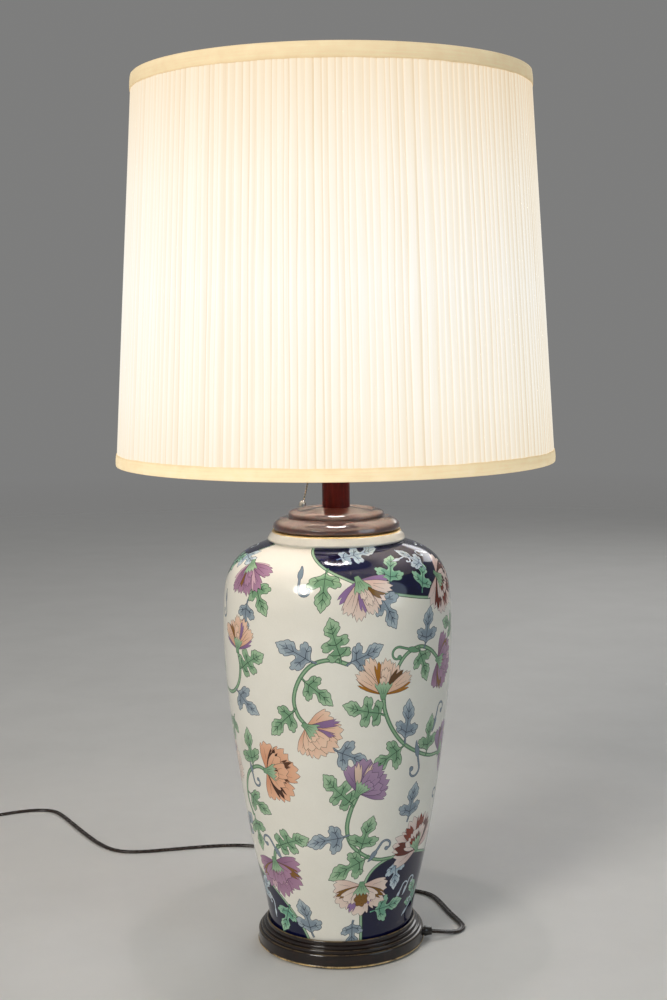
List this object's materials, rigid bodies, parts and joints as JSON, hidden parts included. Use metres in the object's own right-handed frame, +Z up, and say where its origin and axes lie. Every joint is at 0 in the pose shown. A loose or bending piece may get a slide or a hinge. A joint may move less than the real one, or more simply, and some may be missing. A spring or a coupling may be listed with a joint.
{
  "type": "table lamp",
  "caption": "Table lamp: tall glazed ceramic vase body with a floral scroll on a turned dark wood foot, wood cap and neck, pull-chain socket, harp and pleated drum shade.",
  "frame": {"origin": "centre of the foot's underside, on the surface the lamp stands on", "axes": "+Z up along the lamp's axis; -Y is the front; +X is the side where the lead leaves the foot"},
  "size_m": [0.6709, 0.5676, 0.771],
  "materials": {
    "felt": "matte felt",
    "wood_dark": "dark walnut stain under gloss lacquer",
    "wood_red": "red-brown stain, semi-gloss",
    "glazed_porcelain": "clear gloss glaze over a printed floral scroll",
    "brass": "polished, slightly aged",
    "steel": "zinc plated",
    "nickel": "nickel plated",
    "card": "waxed card",
    "phenolic": "moulded phenolic",
    "cord_plastic": "glossy dark brown twin lead",
    "plug_plastic": "moulded",
    "tie_plastic": "matte",
    "bulb_glass": "frosted",
    "pleated_fabric": "knife-pleated cream fabric",
    "shade_lining": "white lining sheet",
    "trim_tape": "folded cream tape"
  },
  "bodies": {
    "lamp": {"base_felt": "felt", "base_plinth": "wood_dark", "bottom_washer": "steel", "bottom_nut": "brass", "vase": "glazed_porcelain", "vase_cap": "wood_dark", "neck_tube": "wood_red", "lamp_pipe": "steel", "neck_check_ring": "brass", "harp_saddle": "brass", "harp": "brass", "harp_stud": "brass", "socket_cap": "brass", "socket_shell": "brass", "socket_insulator": "card", "socket_body": "phenolic", "socket_screw_shell": "brass", "socket_center_contact": "brass", "terminal_screws": "brass", "chain_guide": "brass", "drum_axle": "steel", "drum_spring": "steel", "lead_wires": "cord_plastic", "cord_bushing": "brass", "inner_cord": "cord_plastic", "power_cord": "cord_plastic", "cord_coil": "cord_plastic", "cord_tie": "tie_plastic", "cord_tail": "cord_plastic", "plug_body": "plug_plastic", "plug_blades": "brass"},
    "shade": {"shade_fabric": "pleated_fabric", "shade_liner": "shade_lining", "shade_top_trim": "trim_tape", "shade_bottom_trim": "trim_tape", "shade_spider": "brass", "shade_top_ring": "steel", "shade_bottom_ring": "steel"},
    "finial": {"finial_base": "brass", "finial_knob": "brass"},
    "bulb": {"bulb_glass": "bulb_glass", "bulb_base": "nickel", "bulb_contact": "steel"},
    "sleeve_front": {"harp_sleeve_front": "brass"},
    "sleeve_back": {"harp_sleeve_back": "brass"},
    "chain": {"pull_chain": "brass", "chain_bell": "brass"},
    "drum": {"switch_drum": "phenolic"}
  },
  "joints": [
    {"name": "shade_turn", "type": "hinge", "parent": "lamp", "child": "shade", "pos_m": [0, 0, 0.7443], "axis": [0, 0, 1], "continuous": true},
    {"name": "finial_turn", "type": "hinge", "parent": "lamp", "child": "finial", "pos_m": [0, 0, 0.7456], "axis": [0, 0, 1], "continuous": true},
    {"name": "bulb_turn", "type": "hinge", "parent": "lamp", "child": "bulb", "pos_m": [0, 0, 0.53], "axis": [0, 0, 1], "continuous": true},
    {"name": "sleeve_front_slide", "type": "slide", "parent": "lamp", "child": "sleeve_front", "axis": [0, 0, 1], "range_m": [0, 0.012]},
    {"name": "sleeve_back_slide", "type": "slide", "parent": "lamp", "child": "sleeve_back", "axis": [0, 0, 1], "range_m": [0, 0.012]},
    {"name": "chain_pull", "type": "slide", "parent": "lamp", "child": "chain", "axis": [-1, 0, 0], "range_m": [0, 0.01], "stiffness_N_per_m": 150},
    {"name": "drum_turn", "type": "hinge", "parent": "lamp", "child": "drum", "pos_m": [0, 0, 0.502], "axis": [0, 1, 0], "range_deg": [0, 135]}
  ],
  "couplings": [
    {"joint": "drum_turn", "follows": "chain_pull", "rad_per_m": 157}
  ]
}
